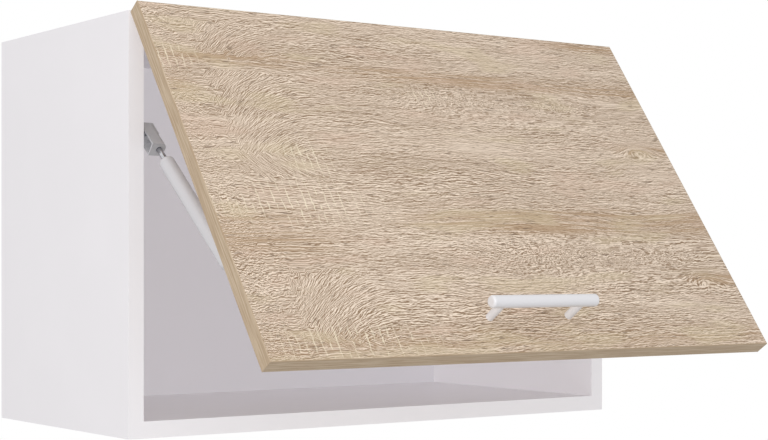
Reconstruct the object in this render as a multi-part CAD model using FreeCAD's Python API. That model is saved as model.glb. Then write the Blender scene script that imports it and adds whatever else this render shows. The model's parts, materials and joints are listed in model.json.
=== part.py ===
"""Lift up wall cabinet, 600 x 400 x 290 mm, drawn with its door part way up.

Frame: X to the right, Y into the wall, Z up, in millimetres.  The origin is on the wall plane,
at mid width and mid height, so the carcass lies at negative Y.

The door is drawn closed and then turned about the hinge axis by DOOR_REST_ANGLE.  Each gas strut
is drawn along its own Z axis, from the centre of its upper ball, and is then laid on the line
from that ball to the lower ball on the door.  The right-hand fittings mirror the left-hand ones.
"""
import FreeCAD
import Part
import math
import os

V = FreeCAD.Vector
X_AXIS = V(1, 0, 0)
Y_AXIS = V(0, 1, 0)
Z_AXIS = V(0, 0, 1)

# ---- driving dimensions: carcass ----
CABINET_WIDTH = 600.0
CABINET_HEIGHT = 400.0
CABINET_DEPTH = 290.0
BOARD = 16.0                  # side, top and bottom boards
BACK_THICKNESS = 3.0          # hardboard nailed on from behind
BACK_MARGIN = 2.0             # the back stops this far inside the outer faces
CARCASS_BAND = 0.5            # white strip on the front edges

# ---- door ----
DOOR_THICKNESS = 16.0
DOOR_SIDE_REVEAL = 1.5        # door edges inside the carcass outline
DOOR_TOP_REVEAL = 1.8
DOOR_BOTTOM_REVEAL = 1.5
DOOR_GAP = 1.0                # closed door to the front edges
DOOR_BAND = 0.8               # banding on the door's four edges
DOOR_BAND_ROUND = 0.6
DOOR_REST_ANGLE = 35.2        # how far the drawn door is open
DOOR_OPEN_ANGLE = 75.0        # fully up

# ---- handle ----
HANDLE_SPACING = 96.0
HANDLE_LENGTH = 128.0
HANDLE_DIAMETER = 12.0
HANDLE_END_ROUND = 2.5
HANDLE_STAND_OFF = 26.0       # door face to the bar's axis
HANDLE_RISE = 38.5            # bar's axis above the door's lower edge
POST_DIAMETER = 8.0
HANDLE_SCREW_DIAMETER = 4.0
HANDLE_SCREW_BITE = 10.0      # thread length in the post
HANDLE_SCREW_HEAD_DIAMETER = 8.0
HANDLE_SCREW_HEAD_HEIGHT = 2.4
HANDLE_SCREW_RIM = 1.2        # straight rim below the head's bevel
HANDLE_SCREW_CROWN_DIAMETER = 5.4
HANDLE_CROSS = (4.0, 1.0, 1.2)  # length, width and depth of the screwdriver cross

# ---- butt hinges, knuckles in the corner between top panel and door ----
HINGE_FROM_SIDE = 100.0       # centre of each hinge to the carcass's outer face
HINGE_LENGTH = 60.0
HINGE_AXIS_BELOW_TOP = 2.4    # carcass top to the pin's axis
HINGE_AXIS_OUT = 0.8          # front edges to the pin's axis
KNUCKLE_DIAMETER = 4.8
KNUCKLE_COUNT = 5
KNUCKLE_GAP = 0.3
HINGE_PIN_DIAMETER = 2.4
HINGE_PIN_HEAD_DIAMETER = 3.6
HINGE_PIN_HEAD = 0.8
HINGE_END_CLEARANCE = 0.4     # pin heads to the ends of the notch
LEAF_THICKNESS = 1.2
LEAF_WIDTH = 12.0             # from the pin's axis
LEAF_SCREW_DROP = 7.2         # pin's axis to the screws' row
LEAF_SEAT = 0.05              # leaf to the floor of its recess
BARREL_CLEARANCE = 0.7        # round the knuckles, in the boards
HINGE_SCREW_PITCH = 20.0
HINGE_SCREW_DIAMETER = 3.0
HINGE_SCREW_HEAD_DIAMETER = 5.6
HINGE_SCREW_LENGTH = 13.0

# ---- gas struts ----
STRUT_FROM_SIDE = 12.0        # strut axis to the side board's inner face
UPPER_BALL_SETBACK = 11.0     # behind the front edges
UPPER_BALL_DROP = 113.2       # below the carcass top
LOWER_BALL_RISE = 54.1        # above the door's lower edge, door shut
LOWER_BALL_STAND_OFF = 8.0    # from the door's back face
BALL_DIAMETER = 8.0
BALL_SEAT_CLEARANCE = 0.1
BALL_ENTRY_DIAMETER = 7.2     # snap-in mouth, a little narrower than the ball
STUD_DIAMETER = 4.8
STUD_FLANGE_DIAMETER = 9.0
STUD_FLANGE = 1.2
CYLINDER_START = 42.0         # upper ball to the cylinder's shoulder
CYLINDER_DIAMETER = 15.0
CYLINDER_WALL = 1.0
CYLINDER_REAR_WALL = 4.0
CYLINDER_SHOULDER_ROUND = 3.6
CYLINDER_LIP = 1.4            # the mouth is rolled in, round the rod
CYLINDER_LIP_ROUND = 2.0
CYLINDER_LIP_DIAMETER = 7.6    # hole that the lip leaves
NECK_DIAMETER = 5.6
NECK_BITE = 3.0               # neck into the upper socket's core
ROD_DIAMETER = 6.0
CLOSED_ROD = 27.2             # rod in sight between tube and lower socket, door shut
PISTON_RESERVE = 0.2          # piston to gland, door fully up
GLAND_LENGTH = 4.5
PISTON_LENGTH = 3.0
PISTON_CLEARANCE = 0.1        # radial, in the tube
SLIDE_CLEARANCE = 0.05

# upper socket: a hollow block, open towards the side board
SOCKET_BACK = 9.6             # upper ball to the block's far end
SOCKET_FRONT = 25.2           # upper ball to the block's near end
SOCKET_WIDTH = 14.0
SOCKET_INNER = 9.0            # strut axis to the open face
SOCKET_OUTER = 6.0            # strut axis to the closed face
SOCKET_WALL = 1.8
SOCKET_ROUND = 5.0
SOCKET_END_ROUND = 2.5
SOCKET_CORE = 7.5             # ball to the core's end, towards the tube
SOCKET_LIP = 4.5              # ball to the core's face, towards the side board
SOCKET_NECK_HOLE = 7.2        # in the near end, round the neck

# lower socket
LOWER_SOCKET_DIAMETER = 11.6
LOWER_SOCKET_INNER = 5.0
LOWER_SOCKET_OUTER = 5.5
LOWER_SOCKET_ROUND = 1.5
LOWER_SOCKET_NECK_DIAMETER = 8.4
LOWER_SOCKET_NECK_ROUND = 1.0
LOWER_SOCKET_REACH = 12.0     # lower ball to the end of the socket's neck
LOWER_SOCKET_BITE = 6.0       # rod inside that neck

# plates and brackets of the struts
SIDE_PLATE_THICKNESS = 2.0
SIDE_PLATE_WIDTH = 20.0
SIDE_PLATE_SETBACK = 4.0      # behind the front edges
SIDE_PLATE_HEIGHT = 54.0
SIDE_PLATE_ROUND = 4.0
SIDE_SCREW_PITCH = 38.0
STUD_FOOT_GAP = 0.3           # stud foot to the side plate
DOOR_BRACKET_THICKNESS = 1.5
DOOR_BRACKET_EAR = 2.0
DOOR_BRACKET_ROUND = 3.0
DOOR_BRACKET_LENGTH = 40.0    # up the door
DOOR_BRACKET_REACH = 30.0     # along X
DOOR_BRACKET_FROM_SIDE = 2.5  # ear to the side board's inner face
EAR_ROUND = 6.5
RIVET_DIAMETER = 7.2
RIVET_HEIGHT = 0.8
BRACKET_SCREW_PITCH = 26.0
BRACKET_SCREW_FROM_EAR = 22.0
STRUT_SCREW_DIAMETER = 3.5
STRUT_SCREW_HEAD_DIAMETER = 6.6
STRUT_SCREW_LENGTH = 13.0

# ---- flat-pack fittings ----
CAM_DIAMETER = 15.0
CAM_DEPTH = 12.5
CAM_CROSS = (9.0, 2.0, 2.5)   # length, width and depth of the screwdriver cross
CAM_FROM_END = 24.0           # cam centre to the panel's end
CAM_SETBACKS = (50.0, 240.0)  # from the front edges
BOLT_THREAD_DIAMETER = 5.0
BOLT_THREAD_LENGTH = 11.0
BOLT_SHANK_DIAMETER = 6.0
BOLT_HEAD_DIAMETER = 7.0
BOLT_HEAD_LENGTH = 3.0
BOLT_NECK_DIAMETER = 3.6
BOLT_NECK_LENGTH = 4.0
BOLT_BORE_DIAMETER = 8.0
DOWEL_DIAMETER = 8.0
DOWEL_IN_SIDE = 10.0
DOWEL_IN_PANEL = 20.0
DOWEL_FROM_CAM = 32.0
DOWEL_CHAMFER = 1.0
HOLE_CLEARANCE = 0.05         # radial, round glued or driven pieces
HOLE_END = 0.4                # hole deeper than what it holds
THROUGH_CLEARANCE = 0.1       # radial, handle screws through the door
SCREW_TIP_RADIUS = 0.3

# ---- nails of the back ----
NAIL_DIAMETER = 1.4
NAIL_HEAD_DIAMETER = 3.2
NAIL_HEAD = 0.5
NAIL_LENGTH = 19.0
WIDE_ROW_COUNT = 5            # nails along the top and the bottom
TALL_ROW_COUNT = 3            # nails up each side
NAIL_END_MARGIN = 60.0        # outer corner to the first nail
NAIL_NOTCH_MARGIN = 20.0      # hanger notch to the highest side nail

# ---- wall hangers in the top rear corners ----
NOTCH_WIDTH = 23.0            # notch of the back, from the side board's inner face
NOTCH_HEIGHT = 50.0           # from the top panel's underside
HANGER_HEIGHT = 62.0
HANGER_LENGTH = 58.0          # from front to back
HANGER_THICKNESS = 19.0
HANGER_WALL = 1.6
HANGER_SEAT = 0.2             # housing to the boards
HANGER_ROUND = 4.0
HANGER_BEHIND = 9.0           # housing's rear face from the wall plane
HANGER_SLOT_BELOW = 15.5      # solid rear wall below the hook's slot
HANGER_SLOT_ABOVE = 12.4      # and above it
HOOK_THICKNESS = 2.0
HOOK_HEIGHT = 34.0
HOOK_ARM_RISE = 5.7           # housing's mid height to the top of the arm
HOOK_NOSE_DROP = 9.0
HOOK_NOSE_FROM_WALL = 1.0
HOOK_NOSE_WIDTH = 12.0
HANGER_SCREW_DIAMETER = 5.0
HANGER_SCREW_HEAD_DIAMETER = 8.0
HANGER_SCREW_HEAD = 2.5
HANGER_SCREW_SLOT = (6.0, 1.2, 1.2)  # length, width and depth
HANGER_SCREW_TAIL = 0.8       # screw past the hook plate
HANGER_SCREW_PITCH = 22.0
HANGER_ACCESS_DIAMETER = 9.0

# ---- bumpers ----
BUMPER_DIAMETER = 8.0
BUMPER_HEIGHT = 0.9
BUMPER_ROUND = 0.4
BUMPER_RISE = 8.0             # above the door's lower edge

# ---- modelling ----
OVER = 1.0                    # a cut starts this far outside the face it enters
NEAR = 0.01                   # an edge this close to a plane lies in it

# ---- planes and places worked out from the driving dimensions ----
HALF_WIDTH = CABINET_WIDTH / 2
INNER_X = HALF_WIDTH - BOARD
TOP_Z = CABINET_HEIGHT / 2
BOTTOM_Z = -TOP_Z
CEILING_Z = TOP_Z - BOARD
FLOOR_Z = BOTTOM_Z + BOARD
FRONT_Y = -CABINET_DEPTH
BOARD_FRONT_Y = FRONT_Y + CARCASS_BAND
BOARD_REAR_Y = -BACK_THICKNESS
AXIS_Y = FRONT_Y - HINGE_AXIS_OUT
AXIS_Z = TOP_Z - HINGE_AXIS_BELOW_TOP
DOOR_BACK_Y = FRONT_Y - DOOR_GAP
DOOR_FRONT_Y = DOOR_BACK_Y - DOOR_THICKNESS
DOOR_TOP_Z = TOP_Z - DOOR_TOP_REVEAL
DOOR_BOTTOM_Z = BOTTOM_Z + DOOR_BOTTOM_REVEAL
DOOR_HALF = HALF_WIDTH - DOOR_SIDE_REVEAL
HINGE_X = HALF_WIDTH - HINGE_FROM_SIDE
LEAF_SCREW_Z = AXIS_Z - LEAF_SCREW_DROP
PIN_HALF = HINGE_LENGTH / 2 + SLIDE_CLEARANCE
TOP_LEAF_REAR_Y = FRONT_Y + LEAF_THICKNESS
DOOR_LEAF_FRONT_Y = DOOR_BACK_Y - LEAF_THICKNESS
HANDLE_POST_X = (-HANDLE_SPACING / 2, HANDLE_SPACING / 2)
HANDLE_Z = DOOR_BOTTOM_Z + HANDLE_RISE
BAR_Y = DOOR_FRONT_Y - HANDLE_STAND_OFF
STRUT_X = -(INNER_X - STRUT_FROM_SIDE)
UPPER_BALL = V(STRUT_X, FRONT_Y + UPPER_BALL_SETBACK, TOP_Z - UPPER_BALL_DROP)
LOWER_BALL_CLOSED = V(STRUT_X, DOOR_BACK_Y + LOWER_BALL_STAND_OFF, DOOR_BOTTOM_Z + LOWER_BALL_RISE)
HINGE_SCREW = (HINGE_SCREW_DIAMETER, HINGE_SCREW_HEAD_DIAMETER, HINGE_SCREW_LENGTH)
STRUT_SCREW = (STRUT_SCREW_DIAMETER, STRUT_SCREW_HEAD_DIAMETER, STRUT_SCREW_LENGTH)

parts = {}


# ---- small helpers ----
def box(x0, x1, y0, y1, z0, z1):
    """Box between two corners."""
    return Part.makeBox(x1 - x0, y1 - y0, z1 - z0, V(x0, y0, z0))


def rod(start, direction, diameter, length):
    """Round bar from a point along a direction."""
    return Part.makeCylinder(diameter / 2, length, start, direction)


def group(solids):
    """Several separate solids as one shape."""
    return Part.makeCompound(solids)


def both_sides(shape):
    """A left-hand shape together with its mirror image."""
    return group([shape, mirrored(shape)])


def mirrored(shape):
    """The right-hand twin of a left-hand shape."""
    return shape.mirror(V(0, 0, 0), X_AXIS)


def turn_door(shape):
    """Turn a shape of the closed door to the drawn angle."""
    turned = shape.copy()
    turned.rotate(V(0, AXIS_Y, AXIS_Z), X_AXIS, -DOOR_REST_ANGLE)
    return turned


def outline_face(points, radii):
    """Plane face through corner points, each corner rounded by its own radius."""
    edges = []
    count = len(points)
    starts, ends = [], []
    for i in range(count):
        before, corner, after = points[i - 1], points[i], points[(i + 1) % count]
        to_before = (before - corner).normalize()
        to_after = (after - corner).normalize()
        radius = radii[i]
        if radius == 0:
            starts.append(corner)
            ends.append(corner)
            continue
        half = to_before.getAngle(to_after) / 2
        back = radius / math.tan(half)
        inward = (to_before + to_after).normalize()
        centre = corner + inward * (radius / math.sin(half))
        middle = centre - inward * radius
        starts.append(corner + to_before * back)
        ends.append(corner + to_after * back)
        edges.append(Part.Arc(starts[i], middle, ends[i]).toShape())
    for i in range(count):
        following = (i + 1) % count
        edges.append(Part.makeLine(ends[i], starts[following]))
    return Part.Face(Part.Wire(Part.__sortEdges__(edges)))


def rounded_box(x0, x1, y0, y1, z0, z1, radius, along):
    """Box with the four edges that run along one axis rounded."""
    if along == "x":
        points = [V(x0, y0, z0), V(x0, y1, z0), V(x0, y1, z1), V(x0, y0, z1)]
        length = V(x1 - x0, 0, 0)
    elif along == "y":
        points = [V(x0, y0, z0), V(x1, y0, z0), V(x1, y0, z1), V(x0, y0, z1)]
        length = V(0, y1 - y0, 0)
    else:
        points = [V(x0, y0, z0), V(x1, y0, z0), V(x1, y1, z0), V(x0, y1, z0)]
        length = V(0, 0, z1 - z0)
    return outline_face(points, [radius] * 4).extrude(length)


def edges_in(shape, axis, value):
    """Edges of a shape that lie in the plane where X, Y or Z has the given value."""
    def lies(bounds):
        ends = (getattr(bounds, axis + "Min"), getattr(bounds, axis + "Max"))
        return all(abs(end - value) < NEAR for end in ends)
    return [edge for edge in shape.Edges if lies(edge.BoundBox)]


def slot_cut(face, inward, along, size):
    """Tool for a straight slot in a head; size is its length, width and depth."""
    length, width, depth = size
    across = inward.cross(along)
    corner = face - inward * OVER - along * (length / 2) - across * (width / 2)
    outline = [corner, corner + along * length, corner + along * length + across * width,
               corner + across * width]
    return outline_face(outline, [0] * 4).extrude(inward * (depth + OVER))


def cross_cut(face, inward, size):
    """Tool for a screwdriver cross in a head, one slot along X and one across it."""
    upright = slot_cut(face, inward, inward.cross(X_AXIS), size)
    return slot_cut(face, inward, X_AXIS, size).fuse(upright)


def revolved(profile, centre, axis, radial):
    """Solid of revolution.  Profile points are (distance along the axis, radius)."""
    points = [centre + axis * s + radial * r for s, r in profile]
    face = Part.Face(Part.makePolygon(points + points[:1]))
    return face.revolve(centre, axis, 360)


def countersunk_screw(head_face, direction, diameter, head_diameter, length):
    """Screw with a flat countersunk head and a pointed tip; head_face is the head's centre."""
    head = (head_diameter - diameter) / 2
    radial = X_AXIS if abs(direction.x) < 0.5 else Y_AXIS
    profile = [(0, 0), (0, head_diameter / 2), (head, diameter / 2),
               (length - diameter, diameter / 2), (length, SCREW_TIP_RADIUS),
               (length, 0)]
    return revolved(profile, head_face, direction, radial)


def countersunk_hole(head_face, direction, diameter, head_diameter, length):
    """The hole that takes the screw above, with a little room all round."""
    room = HOLE_CLEARANCE
    head = (head_diameter - diameter) / 2
    radial = X_AXIS if abs(direction.x) < 0.5 else Y_AXIS
    profile = [(-OVER, 0), (-OVER, head_diameter / 2 + room), (room, head_diameter / 2 + room),
               (head + room, diameter / 2 + room), (length + HOLE_END, diameter / 2 + room),
               (length + HOLE_END, 0)]
    return revolved(profile, head_face, direction, radial)


# ---- flat-pack fittings: eight joints, at both ends of the top and bottom panels ----
def joint_places():
    """(side sign, panel sign, setback of the cam) of each of the eight corner joints."""
    return [(side, panel, setback) for side in (-1, 1) for panel in (-1, 1)
            for setback in CAM_SETBACKS]


def panel_mid_z(panel):
    """Mid height of the top (1) or bottom (-1) panel."""
    return panel * (TOP_Z - BOARD / 2)


def bolt_shape(side, panel, setback, room):
    """Connecting bolt from the side board into the cam; room > 0 gives its hole."""
    y, z = FRONT_Y + setback, panel_mid_z(panel)
    inward = V(-side, 0, 0)
    joint = V(side * INNER_X, y, z)
    bite = BOLT_THREAD_LENGTH + (HOLE_END if room else 0)
    thread = rod(joint - inward * bite, inward, BOLT_THREAD_DIAMETER + 2 * room, bite)
    if room:
        bore = rod(joint, inward, BOLT_BORE_DIAMETER, CAM_FROM_END)
        return thread.fuse(bore)
    shank_length = CAM_FROM_END - BOLT_NECK_LENGTH
    profile = [(0, 0), (0, BOLT_SHANK_DIAMETER / 2), (shank_length, BOLT_SHANK_DIAMETER / 2),
               (shank_length, BOLT_NECK_DIAMETER / 2), (CAM_FROM_END, BOLT_NECK_DIAMETER / 2),
               (CAM_FROM_END, BOLT_HEAD_DIAMETER / 2),
               (CAM_FROM_END + BOLT_HEAD_LENGTH, BOLT_HEAD_DIAMETER / 2),
               (CAM_FROM_END + BOLT_HEAD_LENGTH, 0)]
    return thread.fuse(revolved(profile, joint, inward, Y_AXIS))


def cam_hole(side, panel, setback):
    """Blind hole for a cam, from the panel's outer face."""
    centre = V(side * (INNER_X - CAM_FROM_END), FRONT_Y + setback, panel * (TOP_Z + OVER))
    return rod(centre, V(0, 0, -panel), CAM_DIAMETER + 2 * HOLE_CLEARANCE,
               CAM_DEPTH + HOLE_END + OVER)


def cam_shape(side, panel, setback):
    """Cam disc with its screwdriver cross and the pocket that grips the bolt's head."""
    x, y = side * (INNER_X - CAM_FROM_END), FRONT_Y + setback
    face = V(x, y, panel * TOP_Z)
    inward = V(0, 0, -panel)
    body = rod(face, inward, CAM_DIAMETER, CAM_DEPTH)
    mid = V(x, y, panel_mid_z(panel))
    pocket = rod(mid + V(-side * (BOLT_HEAD_LENGTH + OVER), 0, 0), V(side, 0, 0),
                 BOLT_BORE_DIAMETER, CAM_DIAMETER)
    return body.cut(pocket).cut(cross_cut(face, inward, CAM_CROSS))


def dowel_shape(side, panel, setback, room):
    """Wood dowel between a panel and a side; room > 0 gives its hole."""
    y, z = FRONT_Y + setback, panel_mid_z(panel)
    end = HOLE_END if room else 0.0
    length = DOWEL_IN_SIDE + DOWEL_IN_PANEL + 2 * end
    start = V(side * (INNER_X + DOWEL_IN_SIDE + end), y, z)
    if room:
        return rod(start, V(-side, 0, 0), DOWEL_DIAMETER + 2 * room, length)
    radius = DOWEL_DIAMETER / 2
    chamfer = DOWEL_CHAMFER
    profile = [(0, 0), (0, radius - chamfer), (chamfer, radius), (length - chamfer, radius),
               (length, radius - chamfer), (length, 0)]
    return revolved(profile, start, V(-side, 0, 0), Y_AXIS)


def dowel_places():
    """Dowels stand one pitch inwards of each cam."""
    places = []
    for side, panel, setback in joint_places():
        inwards = 1 if setback == min(CAM_SETBACKS) else -1
        places.append((side, panel, setback + inwards * DOWEL_FROM_CAM))
    return places


# ---- nails ----
def spread(low, high, count):
    """Evenly spaced values from low to high."""
    return [low + (high - low) * i / (count - 1) for i in range(count)]


def nail_places():
    """Nails of the back, along the middle of each board's rear edge."""
    edge_x = HALF_WIDTH - BOARD / 2
    edge_z = TOP_Z - BOARD / 2
    places = []
    for x in spread(-HALF_WIDTH + NAIL_END_MARGIN, HALF_WIDTH - NAIL_END_MARGIN,
                    WIDE_ROW_COUNT):
        places += [(x, edge_z), (x, -edge_z)]
    for z in spread(BOTTOM_Z + NAIL_END_MARGIN, CEILING_Z - NOTCH_HEIGHT - NAIL_NOTCH_MARGIN,
                    TALL_ROW_COUNT):
        places += [(-edge_x, z), (edge_x, z)]
    return places


def nail_shape(x, z, room):
    """Flat-headed nail driven flush from behind; room > 0 gives its hole."""
    profile = [(-room, 0), (-room, NAIL_HEAD_DIAMETER / 2 + room),
               (NAIL_HEAD + room, NAIL_HEAD_DIAMETER / 2 + room),
               (NAIL_HEAD + room, NAIL_DIAMETER / 2 + room),
               (NAIL_LENGTH + room, NAIL_DIAMETER / 2 + room), (NAIL_LENGTH + room, 0)]
    return revolved(profile, V(x, 0, z), V(0, -1, 0), X_AXIS)


# ---- hinges: screws and recesses are shared by the boards ----
def hinge_screws(face_y, into):
    """(head centre, direction) of the three screws that each hinge has in one board."""
    return [(V(side * HINGE_X + k * HINGE_SCREW_PITCH, face_y, LEAF_SCREW_Z), V(0, into, 0))
            for side in (-1, 1) for k in (-1, 0, 1)]


TOP_HINGE_SCREWS = hinge_screws(FRONT_Y, 1)
DOOR_HINGE_SCREWS = hinge_screws(DOOR_BACK_Y, -1)


def leaf_recess(centre, y0, y1):
    """Room let into a board for one leaf."""
    half = HINGE_LENGTH / 2 + LEAF_SEAT
    return box(centre - half, centre + half, y0, y1, AXIS_Z - LEAF_WIDTH - LEAF_SEAT,
               TOP_Z + OVER)


def barrel_notch(centre):
    """Round notch that clears the knuckles."""
    half = PIN_HALF + HINGE_PIN_HEAD + HINGE_END_CLEARANCE
    radius = KNUCKLE_DIAMETER / 2 + BARREL_CLEARANCE
    notch = Part.makeCylinder(radius, 2 * half, V(centre - half, AXIS_Y, AXIS_Z), X_AXIS)
    above = box(centre - half, centre + half, AXIS_Y - radius, AXIS_Y + radius, AXIS_Z,
                TOP_Z + OVER)
    return notch.fuse(above)


def leaf(centre, y0, y1, own_first):
    """Hinge leaf with its share of the knuckles, bored for the pin."""
    half = HINGE_LENGTH / 2
    plate = box(centre - half, centre + half, y0, y1, AXIS_Z - LEAF_WIDTH, AXIS_Z)
    pitch = HINGE_LENGTH / KNUCKLE_COUNT
    outer = KNUCKLE_DIAMETER / 2
    shape = plate
    for i in range(KNUCKLE_COUNT):
        start = centre - half + i * pitch
        if (i % 2 == 0) == own_first:
            x0 = start + (KNUCKLE_GAP / 2 if i else 0)
            x1 = start + pitch - (KNUCKLE_GAP / 2 if i < KNUCKLE_COUNT - 1 else 0)
            shape = shape.fuse(Part.makeCylinder(outer, x1 - x0, V(x0, AXIS_Y, AXIS_Z), X_AXIS))
    for i in range(KNUCKLE_COUNT):
        start = centre - half + i * pitch
        if (i % 2 == 0) != own_first:
            x0 = start - KNUCKLE_GAP / 2
            room = Part.makeCylinder(outer + KNUCKLE_GAP, pitch + KNUCKLE_GAP,
                                     V(x0, AXIS_Y, AXIS_Z), X_AXIS)
            shape = shape.cut(room)
    bore = rod(V(centre - half - OVER, AXIS_Y, AXIS_Z), X_AXIS,
               HINGE_PIN_DIAMETER + 2 * SLIDE_CLEARANCE, HINGE_LENGTH + 2 * OVER)
    return shape.cut(bore).removeSplitter()


def hinge_pin(centre):
    """Pin with a small head at each end."""
    half = PIN_HALF
    shaft, head = HINGE_PIN_DIAMETER / 2, HINGE_PIN_HEAD_DIAMETER / 2
    end = half + HINGE_PIN_HEAD
    profile = [(-end, 0), (-end, shaft), (-half, head), (-half, shaft), (half, shaft),
               (half, head), (end, shaft), (end, 0)]
    return revolved(profile, V(centre, AXIS_Y, AXIS_Z), X_AXIS, Y_AXIS)


# ---- line and lengths of the left-hand strut ----
def lower_ball_at(door_angle):
    """Centre of the lower ball with the door open by the given angle."""
    angle = math.radians(door_angle)
    y, z = LOWER_BALL_CLOSED.y - AXIS_Y, LOWER_BALL_CLOSED.z - AXIS_Z
    return V(STRUT_X, AXIS_Y + y * math.cos(angle) + z * math.sin(angle),
             AXIS_Z - y * math.sin(angle) + z * math.cos(angle))


def span_at(door_angle):
    """Distance between the strut's two balls with the door open by the given angle."""
    return (lower_ball_at(door_angle) - UPPER_BALL).Length


LOWER_BALL = lower_ball_at(DOOR_REST_ANGLE)
STRUT_SPAN = span_at(DOOR_REST_ANGLE)
STRUT_TILT = math.degrees(math.atan2(UPPER_BALL.y - LOWER_BALL.y, UPPER_BALL.z - LOWER_BALL.z))
CYLINDER_END = span_at(0) - LOWER_SOCKET_REACH - CLOSED_ROD
CYLINDER_LENGTH = CYLINDER_END - CYLINDER_START
GLAND_START = CYLINDER_END - CYLINDER_LIP - GLAND_LENGTH
PISTON_STOP = GLAND_START - PISTON_RESERVE - PISTON_LENGTH
PISTON_START = PISTON_STOP - (span_at(DOOR_OPEN_ANGLE) - STRUT_SPAN)


def lay_strut(shape):
    """Move a shape drawn along Z from the upper ball onto the strut's line."""
    laid = shape.copy()
    laid.rotate(V(0, 0, 0), X_AXIS, 180 - STRUT_TILT)
    laid.translate(UPPER_BALL)
    return laid


def side_plate_screws():
    """(head centre, direction) of the screws in the left side plate."""
    face_x = -INNER_X + SIDE_PLATE_THICKNESS
    mid_y = FRONT_Y + SIDE_PLATE_SETBACK + SIDE_PLATE_WIDTH / 2
    return [(V(face_x, mid_y, UPPER_BALL.z + k * SIDE_SCREW_PITCH / 2), V(-1, 0, 0))
            for k in (-1, 1)]


def bracket_screws():
    """(head centre, direction) of the screws in the left door bracket, door closed."""
    x = -INNER_X + DOOR_BRACKET_FROM_SIDE + BRACKET_SCREW_FROM_EAR
    y = DOOR_BACK_Y + DOOR_BRACKET_THICKNESS
    return [(V(x, y, LOWER_BALL_CLOSED.z + k * BRACKET_SCREW_PITCH / 2), V(0, -1, 0))
            for k in (-1, 1)]


# ---- carcass ----
def build_boards():
    """Sides, top, bottom and back, with every hole they carry."""
    left = box(-HALF_WIDTH, -INNER_X, BOARD_FRONT_Y, BOARD_REAR_Y, BOTTOM_Z, TOP_Z)
    right = box(INNER_X, HALF_WIDTH, BOARD_FRONT_Y, BOARD_REAR_Y, BOTTOM_Z, TOP_Z)
    top = box(-INNER_X, INNER_X, BOARD_FRONT_Y, BOARD_REAR_Y, CEILING_Z, TOP_Z)
    bottom = box(-INNER_X, INNER_X, BOARD_FRONT_Y, BOARD_REAR_Y, BOTTOM_Z, FLOOR_Z)
    fitting_holes = []
    for place in joint_places():
        fitting_holes += [bolt_shape(*place, HOLE_CLEARANCE), cam_hole(*place)]
    fitting_holes += [dowel_shape(*place, HOLE_CLEARANCE) for place in dowel_places()]
    nail_holes = [nail_shape(x, z, HOLE_CLEARANCE) for x, z in nail_places()]
    all_holes = group(fitting_holes + nail_holes)
    hinge_room = []
    for side in (-1, 1):
        hinge_room += [leaf_recess(side * HINGE_X, FRONT_Y - OVER, TOP_LEAF_REAR_Y + LEAF_SEAT),
                       barrel_notch(side * HINGE_X)]
    hinge_room += [countersunk_hole(*place, *HINGE_SCREW) for place in TOP_HINGE_SCREWS]
    plate_holes = group([countersunk_hole(*place, *STRUT_SCREW) for place in side_plate_screws()])
    parts["left_side"] = left.cut(all_holes).cut(plate_holes)
    parts["right_side"] = right.cut(all_holes).cut(mirrored(plate_holes))
    parts["top_panel"] = top.cut(all_holes).cut(group(hinge_room))
    parts["bottom_panel"] = bottom.cut(all_holes)
    band_top = box(-INNER_X, INNER_X, FRONT_Y, BOARD_FRONT_Y, CEILING_Z, TOP_Z)
    bands = [box(-HALF_WIDTH, -INNER_X, FRONT_Y, BOARD_FRONT_Y, BOTTOM_Z, TOP_Z),
             box(INNER_X, HALF_WIDTH, FRONT_Y, BOARD_FRONT_Y, BOTTOM_Z, TOP_Z),
             band_top.cut(group(hinge_room)),
             box(-INNER_X, INNER_X, FRONT_Y, BOARD_FRONT_Y, BOTTOM_Z, FLOOR_Z)]
    parts["carcass_edge_bands"] = group([solid for band in bands for solid in band.Solids])
    parts["back_panel"] = build_back(nail_holes)


def build_back(nail_holes):
    """Hardboard back with its two top corners cut out for the hangers."""
    edge_x = HALF_WIDTH - BACK_MARGIN
    edge_z = TOP_Z - BACK_MARGIN
    sheet = box(-edge_x, edge_x, BOARD_REAR_Y, 0, -edge_z, edge_z)
    notches = []
    for side in (-1, 1):
        x0, x1 = sorted((side * (INNER_X - NOTCH_WIDTH), side * HALF_WIDTH))
        notches.append(box(x0, x1, BOARD_REAR_Y - OVER, OVER, CEILING_Z - NOTCH_HEIGHT, TOP_Z))
    return sheet.cut(group(notches + nail_holes))


def build_fittings():
    """Cams, bolts, dowels and nails, each kind a group of separate solids."""
    parts["cam_locks"] = group([cam_shape(*place) for place in joint_places()])
    parts["connecting_bolts"] = group([bolt_shape(*place, 0) for place in joint_places()])
    parts["wood_dowels"] = group([dowel_shape(*place, 0) for place in dowel_places()])
    parts["back_nails"] = group([nail_shape(x, z, 0) for x, z in nail_places()])


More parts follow.
